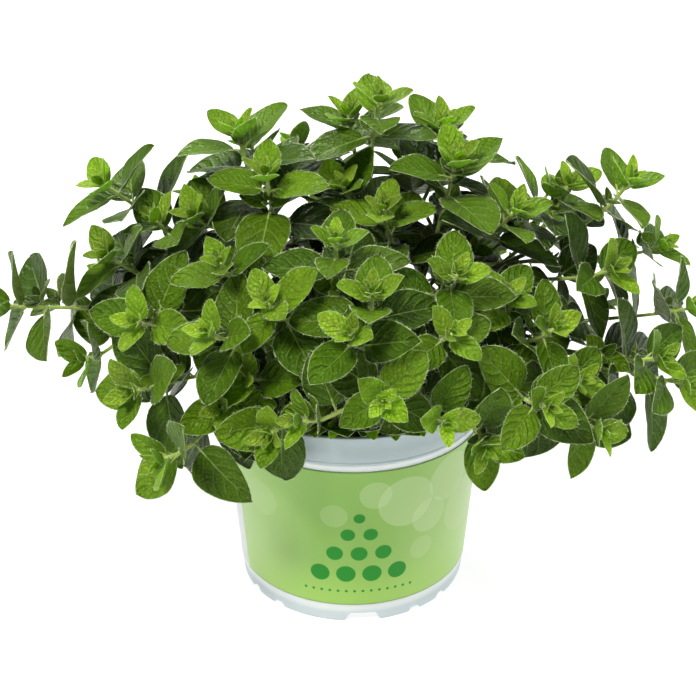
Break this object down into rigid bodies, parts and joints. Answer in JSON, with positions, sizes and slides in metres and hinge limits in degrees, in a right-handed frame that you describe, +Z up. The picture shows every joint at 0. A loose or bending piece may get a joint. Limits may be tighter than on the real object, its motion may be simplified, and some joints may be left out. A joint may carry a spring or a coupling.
{
  "type": "potted oregano plant",
  "caption": "Bushy oregano plant in leaf, standing in a tapered plastic nursery pot with a wrap-round label.",
  "frame": {"origin": "on the pot's axis, level with the underside of its foot ring, which is also about the middle of the plant's spread", "axes": "+Z up along the pot's axis, -Y toward the front of the label, +X along the plant's widest spread"},
  "size_m": [0.3258, 0.2275, 0.2355],
  "materials": {
    "pot_plastic": "semi-matt thin moulded plastic",
    "label_film": "printed film, satin",
    "potting_soil": "rough and crumbly",
    "leaf": "softly hairy leaf"
  },
  "bodies": {
    "root": {"pot": "pot_plastic", "label": "label_film", "soil": "potting_soil", "leafy_stem_01": "leaf", "leafy_stem_02": "leaf", "leafy_stem_03": "leaf", "leafy_stem_04": "leaf", "leafy_stem_05": "leaf", "leafy_stem_06": "leaf", "leafy_stem_07": "leaf", "leafy_stem_08": "leaf", "leafy_stem_09": "leaf", "leafy_stem_10": "leaf", "leafy_stem_11": "leaf", "leafy_stem_12": "leaf", "leafy_stem_13": "leaf", "leafy_stem_14": "leaf", "leafy_stem_15": "leaf", "leafy_stem_16": "leaf", "leafy_stem_17": "leaf", "leafy_stem_18": "leaf", "leafy_stem_19": "leaf", "leafy_stem_20": "leaf", "leafy_stem_21": "leaf", "leafy_stem_22": "leaf", "leafy_stem_23": "leaf", "leafy_stem_24": "leaf", "leafy_stem_25": "leaf", "leafy_stem_26": "leaf"}
  },
  "joints": []
}
